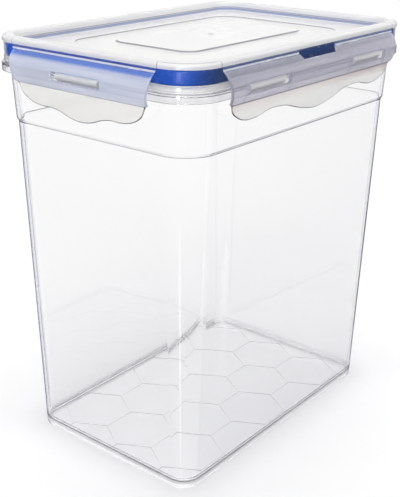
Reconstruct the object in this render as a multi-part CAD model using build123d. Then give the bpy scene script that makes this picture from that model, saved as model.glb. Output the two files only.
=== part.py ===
# Tall clear food storage box with a clip-down lid.
# The box is a drafted, thin-walled moulding with a shoulder, a honeycomb floor and a rim skirt that
# carries six snap lugs. The lid has a hollow rim, a plug that enters the mouth, a blue silicone seal
# and four latches, each joined to the rim by a thin fold strip.
# Millimetres, +Z up, origin at the middle of the footprint on the table. Front is -Y, left is -X.
import os
from math import atan2, degrees, sqrt

from build123d import *

# Plan sizes, taken at the lid's outer edge
lid_length = 240.0
lid_width = 166.0
lid_corner = 24.0

# Container
box_height = 267.2
wall = 2.3
foot_inset = 13.4
lower_inset = 6.1
upper_inset = 5.0
mouth_inset = 3.8
shoulder_height = 226.5
shoulder_corner = 20.5
foot_fillet = 2.4
foot_ring_width = 5.0
foot_ring_depth = 1.0
floor_thickness = 2.4
floor_bevel = 1.6

# Honeycomb on the floor
cell_side = 24.3
line_width = 0.9
line_height = 0.5

# Lip and skirt round the mouth, measured down from the mouth and out from the lid's edge
lip_inset = 0.6
lip_height = 3.6
neck_inset = 1.6
neck_height = 0.8
skirt_reach = 1.0
skirt_thickness = 1.7
skirt_height = 4.8
web_thickness = 1.6
edge_break = 0.5
fuse_depth = 0.2

# Silicone seal
seat_gap = 0.3
seal_band = 7.9
seal_inset = 0.8
seal_fit = 0.2
wiper_depth = 2.8
wiper_thickness = 1.0
wiper_taper = 0.4

# Lid
rim_wall = 2.0
rim_rise = 3.5
rim_gap = 0.3
crown_width = 8.2
crown_round = 2.2
slope_run = 4.6
plate_drop = 2.2
plate_thickness = 2.0
plug_inset = 7.7
plug_depth = 14.0
plug_wall = 1.8
plug_lead_width = 0.5
plug_lead_height = 1.5
plate_lap = 4.0
plate_border = 6.0
groove_length = 164.0
groove_width = 105.0
groove_corner = 15.0
groove_depth = 0.8
panel_length = 122.0
panel_width = 66.0
panel_corner = 10.0
panel_rise = 1.2
gate_diameter = 3.0
gate_height = 0.4

# Fold strips
strip_thickness = 0.6
strip_span = 1.9
strip_lean = 0.35
fold_gap = 0.15

# Latches
long_half = 93.9
short_half = 57.5
latch_wall = 2.0
root_wall = 0.9
bulge_reach = 5.7
bulge_drop = 12.5
panel_drop = 21.5
panel_reach = 3.2
end_taper = 3.4
flap_root_wall = 1.8
flap_wall = 1.1
flap_step = 0.7
flap_tip_reach = 1.2
flap_corner_run = 2.0
flap_corner_drop = 0.4
cut_reach = 20.0
# The flap's lower edge from the middle out: share of the half length, and drop below the thick panel
long_scallop = [
    (0.0, 16.3), (0.20, 13.5), (0.36, 9.5), (0.53, 8.7), (0.68, 11.3), (0.82, 10.5), (0.925, 5.0),
]
short_scallop = [
    (0.0, 17.6), (0.155, 16.5), (0.295, 13.8), (0.42, 12.6), (0.575, 12.6), (0.71, 11.2), (0.84, 7.0),
]

# Latch windows and the lugs that sit in them
window_width = 40.0
window_top = 11.1
window_bottom = 16.3
long_window_offset = 56.0
lug_reach = 4.6
lug_end_gap = 2.5
lug_top_gap = 0.6
lug_under_gap = 0.4
lug_nose = 2.4
peep_top_half = 20.5
peep_bottom_half = 18.0
peep_bottom = 5.6

# Places worked out from the sizes above
mouth_z = box_height
hinge_z = box_height + seat_gap + seal_band + rim_gap
mouth_drop = hinge_z - mouth_z
mouth_corner = lid_corner - mouth_inset
foot_corner = shoulder_corner - (foot_inset - lower_inset)
fold_drop = fold_gap + strip_thickness / 2
upper_fold = (-strip_thickness / 6, -fold_drop)
lower_fold = (upper_fold[0] + strip_lean, upper_fold[1] - sqrt(strip_span**2 - strip_lean**2))
root_drop = -lower_fold[1] + strip_thickness / 2 + fold_gap
floor_z = foot_ring_depth + floor_thickness


# Rounded rectangle set in from the lid's outer edge, as a flat face at one height
def outline(inset, corner, z):
    return Pos(0, 0, z) * RectangleRounded(lid_length - 2 * inset, lid_width - 2 * inset, corner)


# Straight-sided tier between two such faces
def tier(low, high):
    return loft([outline(*low), outline(*high)], ruled=True)


# The four sides: name, turn about Z, and distance from the middle to the lid's edge
sides = [
    ("front", 0, lid_width / 2),
    ("back", 180, lid_width / 2),
    ("left", -90, lid_length / 2),
    ("right", 90, lid_length / 2),
]
across = Plane(origin=(0, 0, 0), x_dir=(0, -1, 0), z_dir=(-1, 0, 0))


# Section drawn outward (x) and upward (y) from the lid's edge at the hinge line, run round the lid:
# four straight runs and a quarter turn about each corner's centre
def ring(section):
    straight_x = lid_length / 2 - lid_corner
    straight_y = lid_width / 2 - lid_corner
    body = Part()
    for turn, run, reach in [
        (0, straight_x, lid_width / 2),
        (90, straight_y, lid_length / 2),
        (180, straight_x, lid_width / 2),
        (270, straight_y, lid_length / 2),
    ]:
        corner_axis = Axis((run, lid_corner, 0), (0, 0, 1))
        straight = extrude(across * section, amount=run, both=True)
        corner = revolve(Pos(run, 0, 0) * (across * section), axis=corner_axis, revolution_arc=90)
        body += Rot(0, 0, turn) * Pos(0, -reach, hinge_z) * (straight + corner)
    return body


# Moves a piece drawn at a side's middle, X along the side and -Y outward, to its side of the lid
def to_side(turn, reach):
    return Rot(0, 0, turn) * Pos(0, -reach, hinge_z)


# Bar with one section, drawn outward and up, of a given half length
def bar(section, half):
    return extrude(across * section, amount=half, both=True)


# Hexagon centres that cover a floor of the given size
def cell_centres(length, width):
    step_x = 1.5 * cell_side
    step_y = sqrt(3) * cell_side
    columns = int(length / 2 / step_x) + 1
    rows = int(width / 2 / step_y) + 1
    for column in range(-columns, columns + 1):
        shift = step_y / 2 if column % 2 else 0
        for row in range(-rows - 1, rows + 1):
            yield column * step_x, row * step_y + shift


# The box's form set in by some thickness, from a height above the table up to the mouth: a drafted
# body, a narrow shoulder, and a short tier that widens to the mouth
def box_form(inward, bottom):
    step = lower_inset - upper_inset
    body_top = shoulder_height - step
    draft = degrees(atan2(foot_inset - lower_inset, body_top))
    low = (lower_inset + inward, shoulder_corner - inward, body_top)
    middle = (upper_inset + inward, shoulder_corner + step - inward, shoulder_height)
    high = (mouth_inset + inward, mouth_corner - inward, mouth_z)
    body = extrude(outline(*low), amount=bottom - body_top, taper=draft)
    return body + tier(low, middle) + tier(middle, high)


def lowest_edges(form):
    return form.faces().sort_by(Axis.Z)[0].edges()


# Container shell: the form hollowed to an even wall, with a recess that leaves a ring to stand on
def container_shell():
    outside, inside = box_form(0, 0), box_form(wall, floor_z)
    outside = fillet(lowest_edges(outside), foot_fillet)
    inside = chamfer(lowest_edges(inside), floor_bevel)
    recess_inset = foot_inset + foot_ring_width
    recess = extrude(outline(recess_inset, foot_corner - foot_ring_width, 0), amount=foot_ring_depth)
    return outside - inside - recess


# Raised honeycomb lines on the floor
def honeycomb():
    inset = foot_inset + wall + floor_bevel
    length = lid_length - 2 * inset
    width = lid_width - 2 * inset
    field = RectangleRounded(length, width, foot_corner - wall)
    cells = Sketch() + [
        Pos(x, y) * RegularPolygon(cell_side - line_width / sqrt(3), 6)
        for x, y in cell_centres(length, width)
    ]
    return extrude(Pos(0, 0, floor_z) * (field - cells), amount=line_height)


# Underside of the neck, where the web starts
neck_bottom = -mouth_drop - lip_height - neck_height


# Lip, neck, web and hanging skirt round the mouth
def mouth_ring():
    top = -mouth_drop
    lip_bottom = top - lip_height
    web_bottom = neck_bottom - web_thickness
    root = -(mouth_inset + wall / 2)
    skirt_top = neck_bottom - edge_break
    skirt_bottom = skirt_top - skirt_height
    section = make_face(Polyline(
        (root, top),
        (-lip_inset - edge_break, top),
        (-lip_inset, top - edge_break),
        (-lip_inset, lip_bottom),
        (-neck_inset, lip_bottom),
        (-neck_inset, neck_bottom),
        (skirt_reach - edge_break, neck_bottom),
        (skirt_reach, skirt_top),
        (skirt_reach, skirt_bottom),
        (skirt_reach - skirt_thickness, skirt_bottom),
        (skirt_reach - skirt_thickness, web_bottom),
        (root, web_bottom),
        close=True,
    ))
    return ring(section)


# Snap lug with a sloped underside that the latch bar swings clear of
def lug_section():
    top = -(window_top + lug_top_gap)
    bar_corner = latch_inner(window_bottom) + window_bottom
    slope_line = bar_corner - lug_under_gap * sqrt(2)
    tip_bottom = lug_reach - slope_line
    foot = skirt_reach - slope_line
    return make_face(Polyline(
        (-neck_inset - fuse_depth, top),
        (lug_reach - lug_nose / 2, top),
        (lug_reach, top - lug_nose / 2),
        (lug_reach, tip_bottom),
        (skirt_reach, foot),
        (skirt_reach - skirt_thickness / 2, foot),
        (skirt_reach - skirt_thickness / 2, neck_bottom - web_thickness / 2),
        (-neck_inset - fuse_depth, neck_bottom - web_thickness / 2),
        close=True,
    ))


# Reach of the latch's inner face at a depth below the hinge line, below the bulge
def latch_inner(depth):
    reach = bulge_reach - latch_wall
    end = panel_reach - flap_root_wall
    run = panel_drop - bulge_drop
    rise = reach - end
    radius = (run**2 + rise**2) / (2 * rise)
    return reach - radius + sqrt(radius**2 - (depth - bulge_drop) ** 2)


def window_places(long_side):
    return (-long_window_offset, long_window_offset) if long_side else (0.0,)


def container():
    body = container_shell() + honeycomb() + mouth_ring()
    lug = bar(lug_section(), window_width / 2 - lug_end_gap)
    for name, turn, reach in sides:
        for x in window_places(name in ("front", "back")):
            body += to_side(turn, reach) * Pos(x, 0, 0) * lug
    return body


# Lid section: hollow rim, sloped inner wall, plug and the start of the plate
def lid_section():
    under = rim_rise - rim_wall
    crown_end = -crown_width
    foot = crown_end - slope_run
    slope_top = rim_rise - crown_round / 2
    plate_under = -plate_drop - plate_thickness
    plug_inner = -plug_inset - plug_wall
    steepness = (slope_top + plate_drop) / slope_run
    inner_foot = foot + (rim_wall * sqrt(1 + steepness**2) - plate_thickness) / steepness
    edge = Polyline((-rim_wall, 0), (0, 0), (0, rim_rise - crown_round))
    crown = RadiusArc((0, rim_rise - crown_round), (-crown_round, rim_rise), -crown_round)
    flat = Polyline(
        (-crown_round, rim_rise),
        (crown_end + crown_round / 2, rim_rise),
        (crown_end, slope_top),
        (foot, -plate_drop),
        (foot - plate_border, -plate_drop),
        (foot - plate_border, plate_under),
        (inner_foot, plate_under),
        (plug_inner, plate_under + (plug_inner - inner_foot) * steepness),
        (plug_inner, -plug_depth),
        (-plug_inset - plug_lead_width, -plug_depth),
        (-plug_inset, -plug_depth + plug_lead_height),
        (-plug_inset, under),
        (-rim_wall, under),
        (-rim_wall, 0),
    )
    return make_face([edge, crown, flat])


def lid():
    plate_inset = crown_width + slope_run + plate_lap
    plate_top = hinge_z - plate_drop
    plate = extrude(outline(plate_inset, lid_corner - plate_inset, plate_top), amount=-plate_thickness)
    body = ring(lid_section()) + plate
    groove_z = plate_top - groove_depth
    rim = RectangleRounded(groove_length, groove_width, groove_corner)
    groove = loft([Pos(0, 0, plate_top) * rim, Pos(0, 0, groove_z) * offset(rim, -groove_depth)], ruled=True)
    panel_top = groove_z + panel_rise
    top = RectangleRounded(panel_length, panel_width, panel_corner)
    panel = loft([Pos(0, 0, groove_z) * offset(top, panel_rise), Pos(0, 0, panel_top) * top], ruled=True)
    gate = Pos(0, 0, panel_top) * extrude(Circle(gate_diameter / 2), amount=gate_height)
    return body - groove + panel + gate


# Seal: a deep band under the rim, a head in the rim's channel and a wiper lip inside the mouth
def seal():
    head_top = rim_rise - rim_wall - seal_fit
    inner = -(plug_inset - seal_fit)
    bottom = -(rim_gap + seal_band)
    wiper_outer = inner + wiper_thickness
    section = make_face(Polyline(
        (-seal_inset, -rim_gap),
        (-rim_wall - seal_fit, -rim_gap),
        (-rim_wall - seal_fit, head_top),
        (inner, head_top),
        (inner, bottom - wiper_depth),
        (wiper_outer - wiper_taper, bottom - wiper_depth),
        (wiper_outer, bottom - wiper_depth / 2),
        (wiper_outer, bottom),
        (-seal_inset, bottom),
        close=True,
    ))
    return ring(section)


# Thin strip between the lid's edge and a latch, pointed at its two fold lines so that it turns freely there
def fold_strip(half, long_side):
    a, b = Vector(*upper_fold), Vector(*lower_fold)
    lean = Vector(b.X - a.X, b.Y - a.Y, 0).normalized()
    normal = Vector(-lean.Y, lean.X, 0) * (strip_thickness / 2)
    tip = lean * (strip_thickness / 2)
    corners = [a + normal, b + normal, b + tip, b - normal, a - normal, a - tip]
    section = make_face(Polyline(*corners, close=True))
    if not long_side:
        return bar(section, half)
    part_half = (half - peep_top_half) / 2
    middle = peep_top_half + part_half
    piece = bar(section, part_half)
    return Compound([Pos(x, 0, 0) * piece for x in (-middle, middle)])


# Latch section: thin root, bulged thick panel, stepped thin flap
def latch_section(depth):
    axis_x = lower_fold[0]
    root_out = (axis_x + root_wall / 2, -root_drop)
    root_in = (axis_x - root_wall / 2, -root_drop)
    bulge_out = (bulge_reach, -bulge_drop)
    bulge_in = (bulge_reach - latch_wall, -bulge_drop)
    end_out = (panel_reach, -panel_drop)
    end_in = (panel_reach - flap_root_wall, -panel_drop)
    tip_out = (flap_tip_reach, -depth)
    tip_in = (flap_tip_reach - flap_wall, -depth)
    return make_face([
        Line(root_in, root_out),
        TangentArc(bulge_out, root_out, tangent=(0, 1)),
        TangentArc(bulge_out, end_out, tangent=(0, -1)),
        Polyline(end_out, (panel_reach - flap_step, -panel_drop - flap_step / 2), tip_out, tip_in, end_in),
        TangentArc(bulge_in, end_in, tangent=(0, -1)),
        TangentArc(bulge_in, root_in, tangent=(0, 1)),
    ])


# Latch seen from outside: straight top, slightly drawn-in ends and a scalloped flap
def latch_face(half, scallop):
    top = edge_break - root_drop
    shoulder = edge_break - panel_drop
    lobes = [(share * half, -panel_drop - drop) for share, drop in scallop]
    last = (half - end_taper - flap_corner_run, -panel_drop - flap_corner_drop)
    right = lobes[1:] + [last]
    left = [(-x, y) for x, y in reversed(right)]
    edge = Spline(left + [lobes[0]] + right)
    rest = Polyline(last, (half - end_taper, shoulder), (half, top), (-half, top),
                    (-half + end_taper, shoulder), (-last[0], last[1]))
    return make_face([edge, rest])


def latch(half, scallop, long_side):
    depth = panel_drop + max(drop for _, drop in scallop)
    front = Plane.XZ * latch_face(half, scallop)
    body = bar(latch_section(depth), half) & extrude(front, amount=cut_reach, both=True)
    opening = Rectangle(window_width, window_bottom - window_top)
    middle = -(window_top + window_bottom) / 2
    for x in window_places(long_side):
        body -= extrude(Plane.XZ * (Pos(x, middle) * opening), amount=cut_reach, both=True)
    if long_side:
        peep = make_face(Polyline((-peep_top_half, 0), (peep_top_half, 0), (peep_bottom_half, -peep_bottom),
                                  (-peep_bottom_half, -peep_bottom), close=True))
        body -= extrude(Plane.XZ * peep, amount=cut_reach, both=True)
    return body


pieces = {"container": container(), "lid": lid(), "seal": seal()}
for name, turn, reach in sides:
    long_side = name in ("front", "back")
    half = long_half if long_side else short_half
    scallop = long_scallop if long_side else short_scallop
    place = to_side(turn, reach)
    pieces[name + "_fold_strip"] = place * fold_strip(half, long_side)
    pieces[name + "_latch"] = place * latch(half, scallop, long_side)

os.makedirs("parts", exist_ok=True)
for name, piece in pieces.items():
    export_step(piece, f"parts/{name}.step")
    print(name, round(piece.volume), "mm3")
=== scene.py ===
from math import cos, hypot, pi, radians, sin, sqrt

import bmesh
import bpy
from mathutils import Matrix, Vector
from mathutils.geometry import delaunay_2d_cdt


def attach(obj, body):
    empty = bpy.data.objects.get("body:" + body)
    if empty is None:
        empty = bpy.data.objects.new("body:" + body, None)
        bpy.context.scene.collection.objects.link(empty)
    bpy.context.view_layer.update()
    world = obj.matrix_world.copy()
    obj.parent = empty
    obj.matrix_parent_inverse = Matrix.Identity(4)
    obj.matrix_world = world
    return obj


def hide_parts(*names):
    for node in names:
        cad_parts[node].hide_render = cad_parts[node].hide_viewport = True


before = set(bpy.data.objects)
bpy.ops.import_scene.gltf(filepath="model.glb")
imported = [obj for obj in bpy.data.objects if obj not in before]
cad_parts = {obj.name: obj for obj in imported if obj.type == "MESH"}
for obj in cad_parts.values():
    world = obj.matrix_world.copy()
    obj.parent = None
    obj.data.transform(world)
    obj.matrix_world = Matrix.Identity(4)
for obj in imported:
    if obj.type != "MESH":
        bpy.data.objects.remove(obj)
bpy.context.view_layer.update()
MM = 0.001

# The viewpoint. The camera stands off the box's front left corner, a little above the lid, and looks
# slightly down at it. Its place was worked out from the photograph's straight edges.
camera_turn, camera_tilt, camera_roll = radians(-51.187), radians(21.82), radians(0.637)
camera_distance, look_aside, look_height = 672.141, -5.52, 120.707
focal_pixels, photo_long_side, sensor_size = 928.46, 497, 36.0

scene = bpy.context.scene
backward = Vector((sin(camera_turn) * cos(camera_tilt), -cos(camera_turn) * cos(camera_tilt), sin(camera_tilt)))
rightward = Vector((cos(camera_turn), sin(camera_turn), 0))
upward = backward.cross(rightward)
rolled_right = rightward * cos(camera_roll) + upward * sin(camera_roll)
rolled_up = upward * cos(camera_roll) - rightward * sin(camera_roll)
standpoint = Vector((0, 0, look_height)) + rightward * look_aside + backward * camera_distance
camera_data = bpy.data.cameras.new("camera")
camera_data.sensor_width = sensor_size
camera_data.lens = focal_pixels / photo_long_side * sensor_size
camera_data.clip_start, camera_data.clip_end = 0.01, 50
camera = bpy.data.objects.new("camera", camera_data)
camera.matrix_world = Matrix.Translation(standpoint * MM) @ Matrix(
    (rolled_right, rolled_up, backward)
).transposed().to_4x4()
scene.collection.objects.link(camera)
scene.camera = camera
scene.view_settings.view_transform = "Standard"


# The studio: a white sheet in a white room, greyer overhead, with a wide lamp from the left, one from above
# and a low one that only gloss sees. In the box's gloss the sheet shows a painted dark grey with two painted
# bright strips, and a painted shadow darkens the sheet's own tone close round the foot.
class Value:
    """One output in a finish's nodes. Arithmetic on it adds the Math nodes."""

    def __init__(self, finish, socket):
        self.finish, self.socket = finish, socket

    def math(self, operation, *others):
        return self.finish.node("ShaderNodeMath", {"operation": operation}, dict(enumerate((self, *others))))

    def __add__(self, other):
        return self.math("ADD", other)

    def __mul__(self, other):
        return self.math("MULTIPLY", other)

    def __sub__(self, other):
        return self.math("SUBTRACT", other)

    def __rsub__(self, other):
        return self.finish.node("ShaderNodeMath", {"operation": "SUBTRACT"}, {0: other, 1: self})

    def __abs__(self):
        return self.math("ABSOLUTE")

    __radd__, __rmul__ = __add__, __mul__

    def or_more(self, other):
        return self.math("MAXIMUM", other)

    def between(self, low, high):
        """0 below low, 1 above high, and a straight run between them."""
        return self.finish.node("ShaderNodeMapRange", {"clamp": True}, {
            "Value": self, "From Min": low, "From Max": high})

    def within(self, start, end, fade, last_fade=None):
        """1 from start to end and 0 outside, with a fade inside each end."""
        return self.between(start, start + fade) * (1 - self.between(end - (last_fade or fade), end))


class Finish:
    """The nodes of one material, or of the room's light. Lengths go in and come out in millimetres."""

    def __init__(self, name, tree=None):
        if tree is None:
            self.material = bpy.data.materials.new(name)
            self.material.use_nodes = True
            tree = self.material.node_tree
        self.tree = tree
        self.tree.nodes.clear()

    def node(self, kind, settings, sockets, output=0):
        made = self.tree.nodes.new(kind)
        for key, value in settings.items():
            setattr(made, key, value)
        for key, value in sockets.items():
            if isinstance(value, Value):
                self.tree.links.new(value.socket, made.inputs[key])
            else:
                made.inputs[key].default_value = value
        return Value(self, made.outputs[output] if made.outputs else None)

    def place(self):
        """Position on the piece at rest, in metres."""
        return self.node("ShaderNodeTexCoord", {}, {}, output="Object")

    def along(self, axis):
        """How far along X, Y or Z a spot of the piece at rest lies."""
        return self.node("ShaderNodeSeparateXYZ", {}, {"Vector": self.place()}, output=axis) * (1 / MM)

    def facing(self, axis):
        """How squarely the surface faces along X, Y or Z, from -1 to 1."""
        outward = self.node("ShaderNodeTexCoord", {}, {}, output="Normal")
        return self.node("ShaderNodeSeparateXYZ", {}, {"Vector": outward}, output=axis)

    def glancing(self):
        """0 where the surface is seen square on, 1 where it is seen edge on."""
        return self.node("ShaderNodeLayerWeight", {}, {"Blend": 0.5}, output="Facing")

    def ray(self, kind):
        return self.node("ShaderNodeLightPath", {}, {}, output=kind)

    def reach(self, half_length, half_width, corner):
        """How far out from a rounded rectangle's edge a spot lies, negative inside it."""
        middle = ((half_length - corner) * MM, (half_width - corner) * MM, 0)
        past = self.place()
        for operation, other in (("MULTIPLY", (1, 1, 0)), ("ABSOLUTE", None), ("SUBTRACT", middle),
                                 ("MAXIMUM", (0, 0, 0))):
            past = self.node("ShaderNodeVectorMath", {"operation": operation},
                             {0: past, 1: other} if other else {0: past})
        length = self.node("ShaderNodeVectorMath", {"operation": "LENGTH"}, {0: past}, output="Value")
        return length * (1 / MM) - corner

    def noise(self, scale, detail=2.0, stretch=(1, 1, 1)):
        """Noise from 0 to 1, its scale in cycles to a metre."""
        moved = self.node("ShaderNodeMapping", {}, {"Vector": self.place(), "Scale": stretch})
        return self.node("ShaderNodeTexNoise", {}, {"Vector": moved, "Scale": scale, "Detail": detail})

    def blend(self, share, first, second):
        """Colour that goes from first to second."""
        return self.node("ShaderNodeMix", {"data_type": "RGBA"}, {0: share, 6: first, 7: second}, output=2)

    def relief(self, height, depth):
        """Surface normal from a height of 0 to 1 that stands for a depth."""
        return self.node("ShaderNodeBump", {}, {"Height": height, "Distance": depth * MM, "Strength": 1.0})

    def plastic(self, colour, roughness, bending, others):
        """A plastic or rubber surface; bending is how strongly it bends light."""
        return self.node("ShaderNodeBsdfPrincipled", {}, {
            "Base Color": colour, "Roughness": roughness, "IOR": bending, **others})

    def mixed(self, share, first, second):
        """Shader that goes from first to second."""
        return self.node("ShaderNodeMixShader", {}, {0: share, 1: first, 2: second})

    def show(self, shader, volume=None):
        sockets = {"Surface": shader, "Volume": volume} if volume else {"Surface": shader}
        self.node("ShaderNodeOutputMaterial", {}, sockets)

    def show_with_pale_shadow(self, shader, passed, volume=None):
        """Shows a see-through plastic that lets this colour of light on into its shadow."""
        light = self.node("ShaderNodeBsdfTransparent", {}, {"Color": passed})
        self.show(self.mixed(self.ray("Is Shadow Ray"), shader, light), volume)


def rgb(red, green, blue):
    """Shader colour from the 0 to 255 numbers seen on a screen."""
    straight = [v / 255 for v in (red, green, blue)]
    return (*(v / 12.92 if v <= 0.04045 else ((v + 0.055) / 1.055) ** 2.4 for v in straight), 1)


def grey(level):
    return (level, level, level, 1)


sheet_size, sheet_drop = 12000, 0.2
sheet_bounced, sheet_seen, sheet_painted_shadow = grey(0.80), grey(0.88), grey(0.68)
sheet_in_gloss = (0.13, 0.145, 0.19, 1)
foot_outline = (106.6, 69.6, 13.2)
painted_shadow_width, painted_shadow_under, painted_shadow_share = 29, 3, 0.62
strip_start_x, strip_start_y, strip_heading = -100, -63, radians(200)
near_strip_spread, near_strip_edge, near_strip_level = 0.10, 4, grey(3.2)
near_strip_fade, near_strip_end = 150, 450
far_strip_spread, far_strip_edge, far_strip_level = 0.11, 30, grey(14.0)
far_strip_start, far_strip_fade = 1200, 60

white_sheet = Finish("white_sheet")
unscattered = 1 - white_sheet.ray("Diffuse Depth").between(0, 1)
# Painted reflection: rays off the box's gloss see the sheet dark grey, with two painted bright strips that put
# highlights on its near corner.
in_gloss = white_sheet.ray("Is Reflection Ray") * unscattered
strip_x = white_sheet.along("X") - strip_start_x
strip_y = white_sheet.along("Y") - strip_start_y
strip_along = strip_x * cos(strip_heading) + strip_y * sin(strip_heading)
strip_aside = abs(strip_y * cos(strip_heading) - strip_x * sin(strip_heading))
near_strip = (strip_along * near_strip_spread - strip_aside).between(0, near_strip_edge) * (
    1 - strip_along.between(near_strip_fade, near_strip_end))
far_strip = (strip_along * far_strip_spread - strip_aside).between(0, far_strip_edge) * strip_along.between(
    far_strip_start, far_strip_start + far_strip_fade)
# Painted shadow: the sheet's tone is darkened close round the foot and fades out within about 3 cm.
from_foot = white_sheet.reach(*foot_outline)
painted_foot_shadow = 1 - from_foot.between(0, painted_shadow_width)
painted_foot_shadow = painted_foot_shadow * painted_foot_shadow * from_foot.between(-painted_shadow_under, 0) * painted_shadow_share
sheet_tone = white_sheet.blend(painted_foot_shadow, sheet_seen, sheet_painted_shadow)
sheet_tone = white_sheet.blend(unscattered, sheet_bounced, sheet_tone)
gloss_tone = white_sheet.blend(near_strip, sheet_in_gloss, near_strip_level)
gloss_tone = white_sheet.blend(far_strip, gloss_tone, far_strip_level)
white_sheet.show(white_sheet.node("ShaderNodeBsdfDiffuse", {}, {
    "Color": white_sheet.blend(in_gloss, sheet_tone, gloss_tone), "Roughness": 0.0}))

sheet_mesh = bmesh.new()
bmesh.ops.create_grid(sheet_mesh, x_segments=8, y_segments=8, size=sheet_size * MM / 2)
sheet_data = bpy.data.meshes.new("floor_sheet")
sheet_mesh.to_mesh(sheet_data)
sheet_mesh.free()
sheet_data.materials.append(white_sheet.material)
sheet = bpy.data.objects.new("floor_sheet", sheet_data)
sheet.location.z = -sheet_drop * MM
scene.collection.objects.link(sheet)

room_fill = 0.30
overhead_grey, overhead_start, overhead_full = 0.80, 0.55, 0.92

world = bpy.data.worlds.new("studio")
scene.world = world
world.use_nodes = True
room = Finish("room", world.node_tree)
unscattered = 1 - room.ray("Diffuse Depth").between(0, 1)
heading = room.node("ShaderNodeTexCoord", {}, {}, output="Generated")
overhead = room.node("ShaderNodeSeparateXYZ", {}, {"Vector": heading}, output="Z").between(
    overhead_start, overhead_full)
seen_level = 1 - overhead * (1 - overhead_grey) * (1 - room.ray("Is Camera Ray"))
room.node("ShaderNodeOutputWorld", {}, {"Surface": room.node("ShaderNodeBackground", {}, {
    "Color": grey(1), "Strength": unscattered * seen_level + (1 - unscattered) * room_fill})})


def soft_lamp(name, strength, spread, towards, gloss_only=False):
    data = bpy.data.lights.new(name, "SUN")
    data.energy, data.angle = strength, radians(spread)
    lamp = bpy.data.objects.new(name, data)
    lamp.matrix_world = (-Vector(towards)).to_track_quat("Z", "Y").to_matrix().to_4x4()
    lamp.visible_diffuse, lamp.visible_glossy = not gloss_only, gloss_only
    scene.collection.objects.link(lamp)


soft_lamp("key_lamp", strength=1.9, spread=50, towards=(0.70, 0.50, -0.50))
soft_lamp("top_lamp", strength=1.8, spread=70, towards=(0.0, 0.0, -1.0))
soft_lamp("corner_lamp", strength=0.55, spread=8, towards=(0.80, 0.59, -0.03), gloss_only=True)


# Container: one clear, glossy injection moulding in a stiff styrene plastic, with 2.3 mm walls. The sides
# draw in towards the foot, and the lip and the hanging skirt round the mouth are moulded with it.
lid_half_length, lid_half_width, lid_corner = 120.0, 83.0, 24.0
hinge_height = 275.7
corner_steps = 14
sharp_angle = radians(32)


def ring_level(reach, rise, ease=0.0):
    """Rounded rectangle parallel to the lid's edge: out from it, and up from the hinge line."""
    return (lid_half_length + reach, lid_half_width + reach, lid_corner + reach, hinge_height + rise, ease)


def wall_level(inset, corner, z, ease=0.0):
    """Rounded rectangle drawn in from the lid's edge, with a corner of its own."""
    return (lid_half_length - inset, lid_half_width - inset, corner, z, ease)


def rounded_loop(half_x, half_y, corner, z):
    points = []
    for quarter, (side_x, side_y) in enumerate([(1, 1), (-1, 1), (-1, -1), (1, -1)]):
        for step in range(corner_steps + 1):
            angle = (quarter + step / corner_steps) * pi / 2
            points.append(Vector((
                side_x * (half_x - corner) + corner * cos(angle),
                side_y * (half_y - corner) + corner * sin(angle),
                z,
            )))
    return points


def rounded_off(corner, arms, steps=4):
    """Points of the curve that rounds a corner, from one arm's end to the other's."""
    return [corner + arms[0] * (1 - k / steps) ** 2 + arms[1] * (k / steps) ** 2 for k in range(steps + 1)]


def eased(levels, closed=False):
    """Rounds each corner of the section by its own ease, the last number of a level."""
    smooth = []
    for index, level in enumerate(levels):
        here, ease = Vector(level[:4]), level[4]
        if not ease or (not closed and index in (0, len(levels) - 1)):
            smooth.append(here)
            continue
        arms = []
        for other in (levels[index - 1], levels[(index + 1) % len(levels)]):
            arm = Vector(other[:4]) - here
            span = hypot(arm[0], arm[3])
            arms.append(arm * min(ease / span, 0.48))
        smooth += rounded_off(here, arms)
    return smooth


def skin(mesh, loops):
    """Faces between neighbouring loops of vertices."""
    for lower, upper in zip(loops, loops[1:]):
        for index in range(len(lower)):
            after = (index + 1) % len(lower)
            mesh.faces.new((lower[index], lower[after], upper[after], upper[index]))


def loft(mesh, levels, closed=False):
    """Skin through the levels, as loops of vertices in metres."""
    loops = [[mesh.verts.new(point * MM) for point in rounded_loop(*level)] for level in levels]
    skin(mesh, loops + loops[:1] if closed else loops)
    return loops


def face_outward(mesh):
    bmesh.ops.remove_doubles(mesh, verts=mesh.verts, dist=1e-7)
    bmesh.ops.recalc_face_normals(mesh, faces=mesh.faces)
    if mesh.calc_volume(signed=True) < 0:
        bmesh.ops.reverse_faces(mesh, faces=mesh.faces)


def make_piece(name, mesh, finish, body, replaced):
    face_outward(mesh)
    data = bpy.data.meshes.new(name)
    mesh.to_mesh(data)
    mesh.free()
    data.polygons.foreach_set("use_smooth", [True] * len(data.polygons))
    data.set_sharp_from_angle(angle=sharp_angle)
    data.materials.append(finish.material)
    piece = bpy.data.objects.new(name, data)
    scene.collection.objects.link(piece)
    evener = piece.modifiers.new("even_normals", "WEIGHTED_NORMAL")
    evener.keep_sharp = True
    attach(piece, body)
    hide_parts(replaced)


wall = 2.3
foot_inset, lower_inset, upper_inset, mouth_inset = 13.4, 6.1, 5.0, 3.8
shoulder_corner, mouth_corner = 20.5, 20.2
foot_corner = shoulder_corner - (foot_inset - lower_inset)
upper_corner = shoulder_corner + lower_inset - upper_inset
body_top, shoulder_top, mouth_height = 225.4, 226.5, 267.2
floor_height, floor_bevel = 5.0, 2.6
foot_ring_width, foot_ring_depth, foot_round = 2.6, 3.1, 2.4
web_under, skirt_under, skirt_top, lip_under = -14.5, -18.2, -12.9, -12.1
lip_top = mouth_height - hinge_height
skirt_inside, skirt_outside, groove_reach, lip_reach = -0.7, 1.0, -1.6, -0.6
web_share = (hinge_height + web_under - shoulder_top) / (mouth_height - shoulder_top)
draft = (foot_inset - lower_inset) / body_top
flat_margin, field_margin = 0.6, 0.9


def inner_level(z, narrower=0.0):
    """The box's inner wall at a height, or a loop narrower than it by a margin."""
    drawn_in = (body_top - z) * draft + wall + narrower
    return wall_level(lower_inset + drawn_in, shoulder_corner - drawn_in, z, 0.9)


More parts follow.
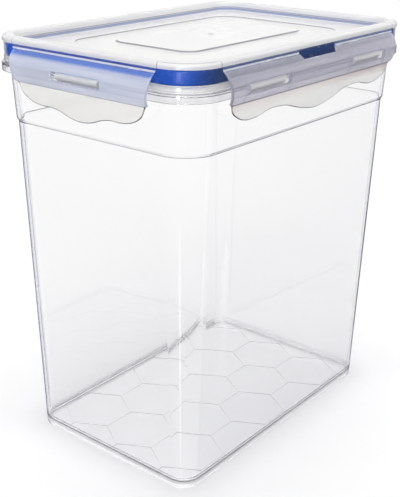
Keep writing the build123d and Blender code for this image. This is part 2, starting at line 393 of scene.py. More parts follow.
field_inset = foot_inset + wall + floor_bevel
container_levels = [
    wall_level(foot_inset + foot_ring_width, foot_corner - foot_ring_width, foot_ring_depth),
    wall_level(foot_inset + foot_ring_width, foot_corner - foot_ring_width, 0, 0.4),
    wall_level(foot_inset, foot_corner, 0, foot_round),
    wall_level(lower_inset, shoulder_corner, body_top, 0.8),
    wall_level(upper_inset, upper_corner, shoulder_top, 0.5),
    wall_level(
        upper_inset + (mouth_inset - upper_inset) * web_share,
        upper_corner + (mouth_corner - upper_corner) * web_share,
        hinge_height + web_under,
        0.4,
    ),
    ring_level(skirt_inside, web_under, 0.4),
    ring_level(skirt_inside, skirt_under, 0.4),
    ring_level(skirt_outside, skirt_under, 0.4),
    ring_level(skirt_outside, skirt_top, 0.5),
    ring_level(groove_reach, skirt_top, 0.3),
    ring_level(groove_reach, lip_under, 0.3),
    ring_level(lip_reach, lip_under, 0.3),
    ring_level(lip_reach, lip_top, 0.6),
    wall_level(mouth_inset + wall, mouth_corner - wall, mouth_height, 0.5),
    wall_level(upper_inset + wall, upper_corner - wall, shoulder_top, 1.2),
    wall_level(lower_inset + wall, shoulder_corner - wall, body_top, 1.2),
    inner_level(floor_height + floor_bevel),
    inner_level(floor_height, narrower=floor_bevel),
    wall_level(field_inset + flat_margin, foot_corner - wall - flat_margin, floor_height),
]
container_mesh = bmesh.new()
container_loops = loft(container_mesh, eased(container_levels))
container_mesh.faces.new(container_loops[0])

# Honeycomb lines on the container's floor: low, slightly rounded ribs that are moulded with it. The cells
# between them are plain, and the lines stop short of the walls.
cell_side, line_width, line_height = 24.3, 0.9, 0.28
line_upright_share, line_slope_width = 0.6, 0.2
columns_each_way, rows_each_way = 4, 3
column_step, row_step = 1.5 * cell_side, sqrt(3) * cell_side
cell_radius = cell_side - line_width / sqrt(3)
field = [point.xy for point in rounded_loop(
    lid_half_length - field_inset - field_margin, lid_half_width - field_inset - field_margin,
    foot_corner - wall - field_margin, 0)]


def cell_centres():
    for column in range(-columns_each_way, columns_each_way + 1):
        for row in range(-rows_each_way, rows_each_way + 1):
            yield Vector((column * column_step, row * row_step + (row_step / 2 if column % 2 else 0)))


def sides_of(loop):
    return zip(loop, loop[1:] + loop[:1])


def inside(point, loop):
    """Whether a point lies inside a convex loop that runs anticlockwise."""
    return all((b - a).cross(point - a) > 0 for a, b in sides_of(loop))


def clipped(a, b, loop):
    """The part of a line that lies inside a convex loop, or nothing."""
    start, end = 0.0, 1.0
    for p, q in sides_of(loop):
        edge = q - p
        side_a, side_b = edge.cross(a - p), edge.cross(b - p)
        if side_a <= 0 and side_b <= 0:
            return []
        if side_a < 0 or side_b < 0:
            cut = side_a / (side_a - side_b)
            start, end = (max(start, cut), end) if side_a < 0 else (start, min(end, cut))
    return [a.lerp(b, start), a.lerp(b, end)] if end - start > 1e-6 else []


cell_corners = [Vector((cos(k * pi / 3), sin(k * pi / 3))) * cell_radius for k in range(6)]
cells = [[centre + corner for corner in cell_corners] for centre in cell_centres()]
rim_loop = container_loops[-1]
flat_points = [vertex.co.xy / MM for vertex in rim_loop] + field
flat_edges = [(k, (k + 1) % len(rim_loop)) for k in range(len(rim_loop))]
flat_edges += [(len(rim_loop) + k, len(rim_loop) + (k + 1) % len(field)) for k in range(len(field))]
for cell in cells:
    for a, b in sides_of(cell):
        line = clipped(a, b, field)
        if line:
            flat_edges.append((len(flat_points), len(flat_points) + 1))
            flat_points += line
points, _, faces, origins, _, _ = delaunay_2d_cdt(flat_points, flat_edges, [], 0, 1e-4)
floor_verts = []
for point, origin in zip(points, origins):
    on_rim = [k for k in origin if k < len(rim_loop)]
    floor_verts.append(
        rim_loop[on_rim[0]] if on_rim
        else container_mesh.verts.new(Vector((*point, floor_height)) * MM)
    )
line_faces = []
for face in faces:
    centre = sum((points[k] for k in face), Vector((0, 0))) / len(face)
    made = container_mesh.faces.new([floor_verts[k] for k in face])
    if inside(centre, field) and not any(inside(centre, cell) for cell in cells):
        line_faces.append(made)
raised = bmesh.ops.extrude_face_region(container_mesh, geom=line_faces)["geom"]
bmesh.ops.delete(container_mesh, geom=line_faces, context="FACES_KEEP_BOUNDARY")
bmesh.ops.translate(
    container_mesh,
    verts=[g for g in raised if isinstance(g, bmesh.types.BMVert)],
    vec=(0, 0, line_upright_share * line_height * MM),
)
bmesh.ops.inset_region(
    container_mesh,
    faces=[g for g in raised if isinstance(g, bmesh.types.BMFace)],
    thickness=line_slope_width * MM,
    depth=(1 - line_upright_share) * line_height * MM,
    use_even_offset=True,
)

# Snap lugs: six solid wedges moulded on the container's skirt, two on each long side and one on each short
# side. A latch's window drops over each of them and hooks under its sloped lower face.
window_width, window_top, window_bottom, window_offset = 40.0, 11.1, 16.3, 56.0
lug_half, lug_round = window_width / 2 - 2.5, 0.35
lug_section = [(-1.8, -13.7), (-1.8, -11.7), (3.4, -11.7), (4.6, -12.9), (4.6, -14.45), (1.0, -18.05),
               (0.15, -18.05), (0.15, -13.7)]


def side_place(turn, reach):
    """Turns a piece drawn at a side's middle (X along it, -Y outward, Z up from the hinge) to its side."""
    return Matrix.Rotation(radians(turn), 4, "Z") @ Matrix.Translation(Vector((0, -reach, hinge_height)) * MM)


def window_places(long_side):
    return (-window_offset, window_offset) if long_side else (0.0,)


sides = {
    "front": (side_place(0, lid_half_width), True),
    "back": (side_place(180, lid_half_width), True),
    "left": (side_place(-90, lid_half_length), False),
    "right": (side_place(90, lid_half_length), False),
}
lug_mesh = bmesh.new()
for place, long_side in sides.values():
    for x in window_places(long_side):
        ends = [
            [lug_mesh.verts.new(Vector((x + end, -reach, rise)) * MM) for reach, rise in lug_section]
            for end in (-lug_half, lug_half)
        ]
        lug_mesh.faces.new(ends[0])
        lug_mesh.faces.new(ends[1][::-1])
        skin(lug_mesh, ends)
        bmesh.ops.transform(lug_mesh, matrix=place, verts=ends[0] + ends[1])
bmesh.ops.recalc_face_normals(lug_mesh, faces=lug_mesh.faces)
bmesh.ops.bevel(lug_mesh, geom=lug_mesh.edges[:], offset=lug_round * MM, segments=3, profile=0.5,
                affect="EDGES", clamp_overlap=True)


def joined(first, second):
    """Two closed meshes made one, without the walls inside."""
    parts = []
    for mesh in (first, second):
        face_outward(mesh)
        data = bpy.data.meshes.new("join")
        mesh.to_mesh(data)
        mesh.free()
        parts.append(bpy.data.objects.new("join", data))
        scene.collection.objects.link(parts[-1])
    union = parts[0].modifiers.new("join", "BOOLEAN")
    union.operation, union.solver, union.object = "UNION", "EXACT", parts[1]
    bpy.context.view_layer.update()
    whole = bmesh.new()
    whole.from_mesh(parts[0].evaluated_get(bpy.context.evaluated_depsgraph_get()).to_mesh())
    for part in parts:
        bpy.data.objects.remove(part)
    return whole


# The container's finish: clear and glossy, painted with dark blue shade where it is seen edge on, with a
# slightly milky lip, lugs and foot, a matt underside to the floor, and a painted dark line where the light
# bends in the shoulder.
clear_bending = 1.54
painted_edge_shade, skirt_grey, clear_milk = rgb(62, 72, 128), rgb(228, 228, 231), (0.86, 0.86, 0.87, 1)
shoulder_shade_short, shoulder_shade_long = rgb(156, 156, 160), rgb(92, 90, 94)
clear_absorbing, clear_density = (0.375, 0.355, 0.395, 1), 12.0
under_half_length, under_half_width = (
    half - foot_inset - foot_ring_width - 0.2 for half in (lid_half_length, lid_half_width))
lug_face = skirt_outside + 0.05

clear = Finish("clear_plastic")
clear_waves, clear_cloud = clear.noise(38, detail=1.0), clear.noise(9, detail=3.0)
clear_up, across, along = clear.along("Z"), abs(clear.along("X")), abs(clear.along("Y"))
clear_rise = clear_up - hinge_height
above_skirt_edge = clear_rise.between(skirt_under, skirt_under + 0.5)
on_lip = clear_rise.between(skirt_top, skirt_top + 0.5)
on_shoulder = clear_up.within(body_top + 0.1, shoulder_top - 0.1, fade=0.2) * clear.reach(
    lid_half_length - lower_inset, lid_half_width - lower_inset, shoulder_corner).between(-0.8, -0.4)
on_long_wall = along.between(lid_half_width - 8.5, lid_half_width - 7.5)
on_skirt_face = clear.reach(lid_half_length, lid_half_width, lid_corner).between(0.2, 0.4) * (
    1 - clear_rise.between(skirt_top, skirt_top + 0.2))
on_lugs = above_skirt_edge * (across - (lid_half_length + lug_face)).or_more(
    along - (lid_half_width + lug_face)).between(0, 0.2)
on_foot = clear.reach(lid_half_length - foot_inset, lid_half_width - foot_inset, foot_corner).between(
    -0.6, -0.4) * clear_up.within(2.2, 6.6, fade=0.8, last_fade=1.0)
under_floor = (1 - (across - under_half_length).or_more(along - under_half_width).between(-0.3, 0)) * (
    1 - clear_up.between(foot_ring_depth + 0.5, foot_ring_depth + 0.7))
on_tall_wall = clear_up.within(12, 224, fade=8, last_fade=2)
# Painted shade: the clear plastic is painted dark blue where it is seen edge on, over a wider range on the tall
# walls.
glancing = clear.glancing()
edge_on = glancing.between(0.68, 0.92).or_more(glancing.between(0.62, 0.84) * on_tall_wall) * (1 - on_shoulder)
# Painted shade: a dark line round the shoulder's ledge, paler on the short sides than on the long ones.
clear_tint_and_shade = clear.blend(on_shoulder, grey(1), clear.blend(on_long_wall, shoulder_shade_short, shoulder_shade_long))
clear_tint_and_shade = clear.blend(on_skirt_face, clear_tint_and_shade, skirt_grey)
see_through = clear.plastic(
    clear.blend(edge_on, clear_tint_and_shade, painted_edge_shade),
    clear_cloud.between(0.55, 0.9) * 0.03 + above_skirt_edge * 0.07 + under_floor * 0.35,
    clear_bending,
    {"Transmission Weight": 1.0, "Normal": clear.relief(clear_waves, 0.04)},
)
milky = clear.plastic(clear_milk, 0.35, clear_bending, {})
milky_share = (on_lip * 0.36).or_more(on_lugs * 0.5).or_more(on_foot * (0.30 + clear_cloud * 0.5))
clear.show_with_pale_shadow(
    clear.mixed(milky_share, see_through, milky),
    grey(0.95),
    clear.node("ShaderNodeVolumeAbsorption", {}, {"Color": clear_absorbing, "Density": clear_density}),
)
make_piece("container_moulding", joined(container_mesh, lug_mesh), clear, "box", "container")


# Lid: one frosted polypropylene moulding with a hollow rim, a sunk plate with a raised panel, a gate mark
# in the middle where the plastic entered, and a plug that goes into the mouth.
plate_rise = -2.2
plate_top = hinge_height + plate_rise
panel_top, recess_floor, plate_under = plate_top + 0.4, plate_top - 0.8, plate_top - 2.0
gate, panel, recess = (1.5, 1.5, 1.5), (61.0, 33.0, 10.0), (81.2, 51.7, 14.2)
gate_height, panel_slope, recess_slope = 0.4, 1.2, 0.8
crown_rise, rim_wall, channel_roof = 3.5, 2.0, 1.5
plug_outside, plug_inside, plug_under = -7.7, -9.5, -14.0


def plate_level(outline, z, ease=0.0, wider=0.0):
    """Rounded rectangle of the plate: half length, half width and corner, all wider by a margin."""
    return (*(size + wider for size in outline), z, ease)


lid_levels = [
    plate_level(gate, panel_top + gate_height),
    plate_level(gate, panel_top, 0.15),
    plate_level(panel, panel_top, 0.5),
    plate_level(panel, recess_floor, 0.5, wider=panel_slope),
    plate_level(recess, recess_floor, 0.4),
    plate_level(recess, plate_top, 0.4, wider=recess_slope),
    ring_level(-12.8, plate_rise, 1.2),
    ring_level(-8.2, 2.4, 0.9),
    ring_level(-7.1, crown_rise, 0.7),
    ring_level(0, crown_rise, 2.4),
    ring_level(0, 0, 0.3),
    ring_level(-rim_wall, 0, 0.3),
    ring_level(-rim_wall, channel_roof, 0.3),
    ring_level(plug_outside, channel_roof, 0.3),
    ring_level(plug_outside, plug_under + 1.5, 0.5),
    ring_level(plug_outside - 0.5, plug_under, 0.3),
    ring_level(plug_inside, plug_under, 0.3),
    ring_level(plug_inside, -1.73, 0.8),
    ring_level(-11.97, plate_rise - 2.0, 0.8),
    plate_level(panel, plate_under),
]
lid_mesh = bmesh.new()
lid_loops = loft(lid_mesh, eased(lid_levels))
lid_mesh.faces.new(lid_loops[0])
lid_mesh.faces.new(lid_loops[-1])

long_half, short_half, past_latch = 93.9, 57.5, 0.8
frosted_bending, frosted_passed = 1.49, (0.58, 0.60, 0.63, 1)
painted_line_grey, slope_painted_seal_blue, slope_painted_shade_line = rgb(132, 134, 142), rgb(150, 161, 194), rgb(98, 102, 128)

frosted = Finish("frosted_plastic")
frosted_grain, frosted_cloud = frosted.noise(2600), frosted.noise(24, detail=3.0)
frosted_rise = frosted.along("Z") - hinge_height
from_edge = frosted.reach(lid_half_length, lid_half_width, lid_corner)


def slope_band(low, high):
    """A level band on the rim's inner slope, between two heights above the hinge line."""
    return from_edge.within(-13.8, -8.0, fade=0.2) * frosted_rise.within(low, high, fade=0.2)


# Painted shade lines: grey on the steep walls of the plate's steps, and along the crown near its edge at the
# corners and at the latch ends.
past_latches = (abs(frosted.along("X")) - (long_half + past_latch)).math(
    "MINIMUM", abs(frosted.along("Y")) - (short_half + past_latch))
rim_side = frosted_rise.between(-0.1, 0)
crown_corner_shade = rim_side * past_latches.between(0, 4) * from_edge.within(-2.1, -1.0, fade=0.3, last_fade=0.4)
latch_end_shade = rim_side * past_latches.within(-0.3, 0.5, fade=0.2) * from_edge.between(-2.0, -1.7)
steepness = 1 - abs(frosted.facing("Z")).between(0.72, 0.97)
above_recess = frosted_rise - (recess_floor - hinge_height)
plate_step_shade = steepness * (1 - from_edge.between(-18.5, -18.0)) * above_recess.between(-0.5, -0.1)
painted_shade_lines = plate_step_shade.or_more(crown_corner_shade * 0.7).or_more(latch_end_shade * 0.7)
lid_tone = frosted.blend(frosted_cloud, rgb(242, 241, 240), rgb(247, 246, 244))
# On the rim's inner slope the seal seen through it is painted as a blue band, with a painted dark shade line at
# the crown's inner edge above it.
for share, tone in ((painted_shade_lines, painted_line_grey), (slope_band(-2.1, -0.3), slope_painted_seal_blue),
                    (slope_band(-0.2, 0.3), slope_painted_shade_line)):
    lid_tone = frosted.blend(share, lid_tone, tone)
frosted.show_with_pale_shadow(
    frosted.plastic(lid_tone, 0.18 + frosted_cloud * 0.06, frosted_bending, {
        "Transmission Weight": 0.58, "Normal": frosted.relief(frosted_grain, 0.012)}),
    frosted_passed,
)
make_piece("lid_moulding", lid_mesh, frosted, "lid", "lid")


# Seal: one ring of blue silicone, pressed into the channel under the lid's rim. Its deep band shows between
# the lid and the box, and a thin wiper lip inside the mouth closes the box.
seal_top, seal_inside, wiper_inside, wiper_under = 1.3, -6.5, -7.5, -11.0
band_under = -8.45
seal_levels = [
    ring_level(-1.2, -0.3, 0.4),
    ring_level(-2.2, -0.3, 0.15),
    ring_level(-2.2, seal_top, 0.3),
    ring_level(wiper_inside, seal_top, 0.3),
    ring_level(wiper_inside, wiper_under, 0.2),
    ring_level(wiper_inside + 0.6, wiper_under, 0.2),
    ring_level(seal_inside, -9.6, 0.3),
    ring_level(seal_inside, band_under, 0.3),
    ring_level(-1.2, band_under, 0.3),
    ring_level(-0.85, -7.6, 0.7),
    ring_level(-0.8, -4.25, 1.5),
    ring_level(-0.85, -0.9, 0.6),
]
seal_mesh = bmesh.new()
loft(seal_mesh, eased(seal_levels, closed=True), closed=True)

silicone = Finish("blue_silicone")
silicone_bloom, silicone_grain = silicone.noise(160, detail=4.0), silicone.noise(1800)
on_long_side = abs(silicone.along("Y")).between(lid_half_width - 9, lid_half_width - 1)
silicone_blue_and_shade = silicone.blend(silicone_bloom.between(0.3, 0.8), rgb(28, 74, 172), rgb(34, 82, 180))
# Painted shade: the seal is a darker navy on the long sides.
silicone_blue_and_shade = silicone.blend(on_long_side, silicone_blue_and_shade, rgb(34, 58, 108))
# Painted sheen: the seal turns pale grey where it is seen edge on.
silicone_painted_sheen = silicone.glancing().between(0.58, 0.80)
silicone.show(silicone.plastic(
    silicone.blend(silicone_painted_sheen, silicone_blue_and_shade, rgb(196, 200, 210)), 0.22 + silicone_bloom * 0.10, 1.41, {
        "Subsurface Weight": 0.15,
        "Subsurface Radius": (0.2, 0.4, 1.0),
        "Subsurface Scale": 0.002,
        "Normal": silicone.relief(silicone_grain, 0.015),
    }))
make_piece("seal_ring", seal_mesh, silicone, "lid", "seal")


# Fold strips: the thin webs that join each latch to the lid's edge. The plastic is moulded thin along both
# of its edges so that it bends there, and the strips of the long sides stop at the middle window.
peep_top_half, peep_bottom_half, peep_bottom = 20.5, 18.0, 5.6
strip_top, strip_low = Vector((-0.1, -0.45)), Vector((0.25, -2.3175))
strip_middle = (strip_top + strip_low) / 2
strip_half_thickness, strip_end_run, strip_end_size = 0.3, 0.25, 0.6


def strip_section():
    """Outline of the strip's section, as reach and rise, with its corners rounded."""
    downward = (strip_low - strip_top).normalized() * strip_half_thickness
    outward = Vector((-downward.y, downward.x))
    corners = [strip_top + outward, strip_low + outward, strip_low + downward,
               strip_low - outward, strip_top - outward, strip_top - downward]
    rounded = []
    for k, corner in enumerate(corners):
        arms = [(corners[(k + step) % 6] - corner) * 0.3 for step in (-1, 1)]
        rounded += rounded_off(corner, arms, steps=2)
    return rounded


def add_strip(mesh, start, end):
    loops = []
    for x, size in ((start, strip_end_size), (start + strip_end_run, 1.0), (end - strip_end_run, 1.0),
                    (end, strip_end_size)):
        points = [strip_middle + (point - strip_middle) * size for point in strip_section()]
        loops.append([mesh.verts.new(Vector((x, -point.x, point.y)) * MM) for point in points])
    mesh.faces.new(loops[0])
    mesh.faces.new(loops[-1])
    skin(mesh, loops)


web = Finish("web_plastic")
web_grain = web.noise(900, stretch=(0.05, 0.05, 1.0))
web_middle = web.plastic(
    web.blend(web_grain, rgb(128, 156, 214), rgb(152, 178, 226)), 0.02 + web_grain * 0.04, frosted_bending,
    {"Transmission Weight": 1.0})
web_low_edge = web.plastic(
    web.blend(web_grain, rgb(236, 239, 246), rgb(247, 248, 251)), 0.25 + web_grain * 0.04, frosted_bending,
    {"Transmission Weight": 0.55})
above_low_edge = (web.along("Z") - hinge_height).between(-1.45, -1.35)
web.show_with_pale_shadow(web.mixed(above_low_edge, web_low_edge, web_middle), frosted_passed)

for side, (place, long_side) in sides.items():
    strip_mesh = bmesh.new()
    if long_side:
        add_strip(strip_mesh, -long_half, -peep_top_half)
        add_strip(strip_mesh, peep_top_half, long_half)
    else:
        add_strip(strip_mesh, -short_half, short_half)
    bmesh.ops.transform(strip_mesh, matrix=place, verts=strip_mesh.verts)
    make_piece(side + "_fold_web", strip_mesh, web, side + "_fold", side + "_fold_strip")


# Latches: four frosted flaps moulded with the lid. Each bulges out over its lugs, has a window for each lug,
# and steps down to a thin scalloped flap that a finger lifts.
root_drop, bulge_drop, panel_drop = 2.7675, 12.5, 21.5
root_out, root_in = 0.70, -0.20
bulge_out, bulge_in = 5.7, 3.7
panel_out, panel_in = 3.2, 1.4
step_out, step_drop = 2.5, 21.85
tip_out, tip_in = 1.2, 0.1
end_inset, end_taper, end_drop = 0.2, 3.4, panel_drop - 0.5
long_scallop = [(0.0, 16.3), (0.20, 13.5), (0.36, 9.5), (0.53, 8.7), (0.68, 11.3), (0.82, 10.5), (0.925, 5.0)]
short_scallop = [(0.0, 17.6), (0.155, 16.5), (0.295, 13.8), (0.42, 12.6), (0.575, 12.6), (0.71, 11.2),
                 (0.84, 7.0)]
scallop_end_in, scallop_end_drop, scallop_steps = 2.0, 0.4, 8
edge_round, window_round, peep_round, peep_lead = 0.5, 0.7, 1.0, 1.5


def bulge_reach(drop, top, widest, low):
    """Reach of a bulged face at a drop: an arc down to the widest line, and one on from there."""
    end = top if drop < bulge_drop else low
    run = (bulge_drop - root_drop) if drop < bulge_drop else (panel_drop - bulge_drop)
    rise = widest - end
    radius = (run**2 + rise**2) / (2 * rise)
    return widest - radius + sqrt(radius**2 - (drop - bulge_drop) ** 2)


def latch_faces(drop, depth):
    """Reach of the latch's outer and inner faces at a drop below the hinge line."""
    if drop <= panel_drop:
        return (bulge_reach(drop, root_out, bulge_out, panel_out),
                bulge_reach(drop, root_in, bulge_in, panel_in))
    inner = panel_in + (tip_in - panel_in) * (drop - panel_drop) / (depth - panel_drop)
    if drop < step_drop:
        return panel_out + (step_out - panel_out) * (drop - panel_drop) / (step_drop - panel_drop), inner
    return step_out + (tip_out - step_out) * (drop - step_drop) / (depth - step_drop), inner


def passing(first, second, start, end, now):
    """Where a straight run from first at the start to second at the end has got to."""
    return first * ((end - now) / (end - start)) + second * ((now - start) / (end - start))


def flowing(points, steps):
    """Smooth open line through the points, as a centripetal Catmull-Rom curve."""
    padded = [points[0] * 2 - points[1], *points, points[-1] * 2 - points[-2]]
    line = []
    for p0, p1, p2, p3 in zip(padded, padded[1:], padded[2:], padded[3:]):
        t1 = (p1 - p0).length ** 0.5
        t2 = t1 + (p2 - p1).length ** 0.5
        t3 = t2 + (p3 - p2).length ** 0.5
        for k in range(steps):
            t = t1 + (t2 - t1) * k / steps
            middle = passing(p1, p2, t1, t2, t)
            before = passing(passing(p0, p1, 0.0, t1, t), middle, 0.0, t2, t)
            after = passing(middle, passing(p2, p3, t2, t3, t), t1, t3, t)
            line.append(passing(before, after, t1, t2, t))
    return line + [points[-1]]


def soft_corners(corners, radius):
    """Closed loop with its corners rounded."""
    loop = []
    for k, corner in enumerate(corners):
        arms = []
        for other in (corners[k - 1], corners[(k + 1) % len(corners)]):
            arm = other - corner
            arms.append(arm * min(radius / arm.length, 0.45))
        loop += rounded_off(corner, arms)
    return loop


def cut_at_rows(loop, rows):
    """The loop with a point wherever it crosses a row, so as to follow the curved section."""
    cut = []
    for a, b in sides_of(loop):
        cut.append(a)
        low, high = min(a.y, b.y) + 0.02, max(a.y, b.y) - 0.02
        crossed = sorted((row - a.y) / (b.y - a.y) for row in rows if low < row < high)
        cut += [a.lerp(b, share) for share in crossed]
    return cut


def set_in(loop, distance):
    """The loop moved to its own left by a distance."""
    moved = []
    for k, point in enumerate(loop):
        ways = [(point - loop[k - 1]).normalized(), (loop[(k + 1) % len(loop)] - point).normalized()]
        lefts = [Vector((-way.y, way.x)) for way in ways]
        middle = lefts[0] + lefts[1]
        moved.append(point + middle * (distance / max(middle.dot(lefts[0]), 0.2)))
    return moved


def filled(triangles, barrier, seed):
    """The triangles reached from one at the seed vertex without crossing a barrier edge."""
    sharing = {}
    for index, triangle in enumerate(triangles):
        for pair in sides_of(triangle):
            sharing.setdefault(frozenset(pair), []).append(index)
    waiting = [next(index for index, triangle in enumerate(triangles) if seed in triangle)]
    reached = set(waiting)
    while waiting:
        for pair in sides_of(triangles[waiting.pop()]):
            if frozenset(pair) in barrier:
                continue
            fresh = [other for other in sharing[frozenset(pair)] if other not in reached]
            reached.update(fresh)
            waiting += fresh
    return [triangles[index] for index in sorted(reached)]


def latch_outline(half, scallop, long_side):
    """A latch's edge from outside: the scalloped flap, its tapered ends and the root's peep notch."""
    lobes = [Vector((share * half, -panel_drop - drop)) for share, drop in scallop]
    right = lobes[1:] + [Vector((half - end_taper - scallop_end_in, -panel_drop - scallop_end_drop))]
    outline = flowing([Vector((-p.x, p.y)) for p in reversed(right)] + [lobes[0]] + right, scallop_steps)
    root = [(half - end_taper, -end_drop), (half - end_inset, -root_drop)]
    if long_side:
        peep_side = peep_top_half - (peep_top_half - peep_bottom_half) * root_drop / peep_bottom
        notch = [(peep_side, -root_drop), (peep_bottom_half, -peep_bottom),
                 (-peep_bottom_half, -peep_bottom), (-peep_side, -root_drop)]
        low_corners = soft_corners([Vector(corner) for corner in notch], peep_round)[5:15]
        root += [(peep_side + peep_lead, -root_drop), notch[0], *low_corners, notch[3],
                 (-peep_side - peep_lead, -root_drop)]
    root += [(-half + end_inset, -root_drop), (-half + end_taper, -end_drop)]
    return outline + [Vector(point) for point in root]


def latch_windows(long_side):
    return [
        soft_corners([Vector((x + way * window_width / 2, -drop)) for way, drop in (
            (-1, window_top), (1, window_top), (1, window_bottom), (-1, window_bottom))], window_round)
        for x in window_places(long_side)
    ]


def face_rows(depth):
    """Heights of the level lines that carry the curve of a latch's faces."""
    rows = [-(root_drop + 0.6 + 0.9 * k) for k in range(20)]
    rows = [row for row in rows if row > -end_drop] + [-panel_drop, -step_drop]
    return rows + [-(step_drop + 2.0 + 2.5 * k) for k in range(8) if step_drop + 2.0 + 2.5 * k < depth - 1]


def latch_mesh(half, depth, scallop, long_side):
    """Both faces of a latch, and the rounded edges between them."""
    rows = face_rows(depth)
    loops = [latch_outline(half, scallop, long_side), *latch_windows(long_side)]
    mesh = bmesh.new()

    def vertex(point, face, sunk=0.0):
        """A vertex on the outer face (0) or the inner one (1), or sunk below it."""
        reach = latch_faces(min(max(-point.y, root_drop), depth), depth)[face]
        return mesh.verts.new(Vector((point.x, sunk - reach if face == 0 else -(reach + sunk), point.y)) * MM)

    rings = []
    edge_steps = [(0, 0), (0.29, 0.29), (1, 1)]
    for loop in loops:
        loop = cut_at_rows(loop, rows)
        layers = []
        for face, order in ((0, edge_steps), (1, edge_steps[::-1])):
            for sunk, drawn in order:
                layer = set_in(loop, edge_round * (1 - drawn)) if drawn < 1 else loop
                layers.append([vertex(point, face, edge_round * sunk) for point in layer])
        skin(mesh, layers)
        rings.append((set_in(loop, edge_round), layers[0], layers[-1]))
    points, edges = [], []
    for flat, _, _ in rings:
        start = len(points)
        points += flat
        edges += [(start + k, start + (k + 1) % len(flat)) for k in range(len(flat))]
    rim_count = len(points)
    gap, spacing = 0.5, 6
    for row in rows:
        crossings = sorted(
            a.x + (b.x - a.x) * (row - a.y) / (b.y - a.y)
            for flat, _, _ in rings
            for a, b in sides_of(flat)
            if (a.y > row) != (b.y > row)
        )
        for left, right in zip(crossings[::2], crossings[1::2]):
            run = right - left - 2 * gap
            if run < gap:
                continue
            count = max(2, int(run / spacing) + 1)
            edges += [(len(points) + k, len(points) + k + 1) for k in range(count - 1)]
            points += [Vector((left + gap + run * k / (count - 1), row)) for k in range(count)]
    flat_points, _, triangles, origins, _, _ = delaunay_2d_cdt(points, edges, [], 0, 1e-5)
    places = {given: made for made, origin in enumerate(origins) for given in origin}
    barrier = {frozenset((places[a], places[b])) for a, b in edges if a < rim_count}
    triangles = filled([list(triangle) for triangle in triangles], barrier, places[rim_count])
    for face in (0, 1):
        rim = [vert for ring in rings for vert in ring[face + 1]]
        verts = []
        for point, origin in zip(flat_points, origins):
            on_rim = [k for k in origin if k < rim_count]
            verts.append(rim[on_rim[0]] if on_rim else vertex(point, face))
        for triangle in triangles:
            mesh.faces.new([verts[k] for k in triangle])
    bmesh.ops.delete(mesh, geom=[v for v in mesh.verts if not v.link_faces], context="VERTS")
    return mesh


def plate_behind(mesh, stations):
    """A thin upright wall through its left and right x and its back and front reach at each drop."""
    loops = [
        [mesh.verts.new(Vector((x, -reach, -drop)) * MM)
         for x, reach in ((left, back), (right, back), (right, front), (left, front))]
        for drop, left, right, back, front in stations
    ]
    mesh.faces.new(loops[0])
    mesh.faces.new(loops[-1])
    skin(mesh, loops)


rib_width, rib_proud, rib_beside, rib_sunk, rib_steps = 1.1, 0.9, 2.2, 0.5, 8
rib_start, rib_end = window_top - 1.5, panel_drop - 0.6
end_wall_width, end_wall_clear, end_wall_sunk, end_wall_steps = 1.2, 0.35, 0.6, 14
end_wall_start, end_wall_end = root_drop + 0.7, panel_drop + 0.4
end_wall_lean, end_wall_lean_start = 1.0, 6.5


def latch_walls(half, depth, long_side):
    """The end walls of a latch, and the ribs beside its windows."""
    mesh = bmesh.new()
    for way in (-1, 1):
        stations = []
        for k in range(end_wall_steps + 1):
            drop = end_wall_start + (end_wall_end - end_wall_start) * k / end_wall_steps
            edge = half - end_inset - (end_taper - end_inset) * (drop - root_drop) / (end_drop - root_drop)
            ends = sorted((way * (edge - 0.2), way * (edge - 0.2 - end_wall_width)))
            back = end_wall_clear + min(max(drop - end_wall_lean_start, 0), end_wall_lean)
            front = max(latch_faces(drop, depth)[0] - end_wall_sunk, back + 0.2)
            stations.append((drop, *ends, back, front))
        plate_behind(mesh, stations)
    for centre in window_places(long_side):
        for way in (-1, 1):
            middle = centre + way * (window_width / 2 + rib_beside)
            stations = []
            for k in range(rib_steps + 1):
                drop = rib_start + (rib_end - rib_start) * k / rib_steps
                inner = latch_faces(drop, depth)[1]
                stations.append((
                    drop, middle - rib_width / 2, middle + rib_width / 2, inner - rib_proud, inner + rib_sunk))
            plate_behind(mesh, stations)
    return mesh


# The latches' finish: the frosted plastic with fine level flow lines, hazier over the panel than on the flap.
# The panel is painted darker for the shade in the gap behind it, more so on the long sides; the short sides are
# painted blue where the seal shows through, and painted shade lies along the panel's step.
panel_end, step_shade = -panel_drop, 0.42
painted_step_shade, painted_rim_shade = rgb(84, 84, 98), rgb(84, 82, 84)
flap_white, painted_flap_root_shadow = rgb(243, 242, 240), rgb(212, 196, 192)

latch = Finish("latch_plastic")
flow_lines, latch_grain = latch.noise(900, detail=3.0, stretch=(0.02, 0.02, 1.0)), latch.noise(2600)
flow_share = flow_lines.between(0.3, 0.7)
latch_rise, facing_up = latch.along("Z") - hinge_height, latch.facing("Z")
on_long_side = abs(latch.along("Y")).between(lid_half_width - 2, lid_half_width - 1)
on_panel = latch_rise.between(panel_end - 0.2, panel_end + 0.2)
# Painted shade along the panel's step, strongest on the long sides.
on_step = latch_rise.within(panel_end - 2 * step_shade, panel_end + step_shade, fade=step_shade) * (
    0.25 + on_long_side * 0.75)
# Painted shadow on the long flaps just below the panel's step, fading out within 6 mm, stronger towards +X.
on_flap_root = on_long_side * latch_rise.between(panel_end - 6, panel_end - 1) * (
    0.35 + latch.along("X").between(0, 60) * 0.65)
# Painted shade on the panel's end walls, darker and bluer on the long sides.
on_end_wall = on_panel * (
    abs(latch.facing("X")) * on_long_side + abs(latch.facing("Y")) * (1 - on_long_side)).between(0.6, 0.8)
# Painted highlight on faces that look up, such as the windows' lower edges, fainter on the short sides.
top_edge_highlight = facing_up.between(0.88, 0.96) * (0.3 + on_long_side * 0.7)
# Painted shade on the flap's edge faces that slope up or down.
on_flap_rim = abs(facing_up).between(0.25, 0.5) * (1 - on_panel)
before_seal = latch_rise.between(-5.8, -4.8)
below_seal = 1 - latch_rise.between(-5.8, -4.4)

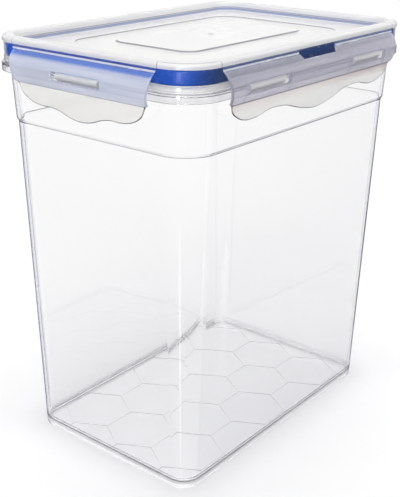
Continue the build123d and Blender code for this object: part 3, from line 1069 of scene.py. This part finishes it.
short_tone = latch.blend(flow_share, rgb(222, 226, 238), rgb(236, 239, 247))
# Painted blue where the seal shows through the short panels.
short_tone = latch.blend(before_seal, short_tone, rgb(150, 190, 250))
# The long panels are painted darker than the short ones, for the shade in the gap behind them.
long_tone_shaded = latch.blend(flow_share, rgb(208, 206, 218), rgb(230, 228, 236))
flap_tone = latch.blend(on_flap_root, flap_white, painted_flap_root_shadow)
clear_tone = latch.blend(on_panel, flap_tone, latch.blend(on_long_side, short_tone, long_tone_shaded))
clear_tone = latch.blend(on_flap_rim, clear_tone, painted_rim_shade)
clear_tone = latch.blend(on_step, clear_tone, painted_step_shade)
clear_tone = latch.blend(top_edge_highlight, clear_tone, rgb(248, 249, 252))

# The hazy part is painted darker still, and darkest on the long sides, for the same shade.
short_haze = latch.blend(flow_share, rgb(200, 205, 226), rgb(212, 216, 233))
long_haze_shaded = latch.blend(flow_share, rgb(156, 156, 174), rgb(178, 178, 192))
painted_end_wall_shade = latch.blend(on_long_side, rgb(216, 221, 236), rgb(158, 166, 196))
haze_tone = latch.blend(on_end_wall, latch.blend(on_long_side, short_haze, long_haze_shaded), painted_end_wall_shade)
haze_tone = latch.blend(on_step, haze_tone, painted_step_shade)
haze_tone = latch.blend(top_edge_highlight, haze_tone, rgb(238, 241, 250))
haze_share = (1 - on_long_side) * below_seal * 0.28 + on_long_side * 0.12
panel_look = latch.mixed(
    haze_share,
    latch.plastic(clear_tone, 0.10 + flow_lines * 0.08, frosted_bending, {
        "Transmission Weight": 0.86, "Normal": latch.relief(flow_lines, 0.02)}),
    latch.plastic(haze_tone, 0.30 + flow_lines * 0.08, frosted_bending, {}))
flap_look = latch.plastic(clear_tone, 0.10 + latch_grain * 0.06, frosted_bending, {
    "Transmission Weight": 0.80, "Normal": latch.relief(latch_grain, 0.012)})
latch.show_with_pale_shadow(latch.mixed(on_panel, flap_look, panel_look), frosted_passed)

for side, (place, long_side) in sides.items():
    half, scallop = (long_half, long_scallop) if long_side else (short_half, short_scallop)
    depth = panel_drop + max(drop for _, drop in scallop)
    mesh = joined(latch_mesh(half, depth, scallop, long_side), latch_walls(half, depth, long_side))
    bmesh.ops.transform(mesh, matrix=place, verts=mesh.verts)
    make_piece(side + "_latch_flap", mesh, latch, side + "_latch", side + "_latch")
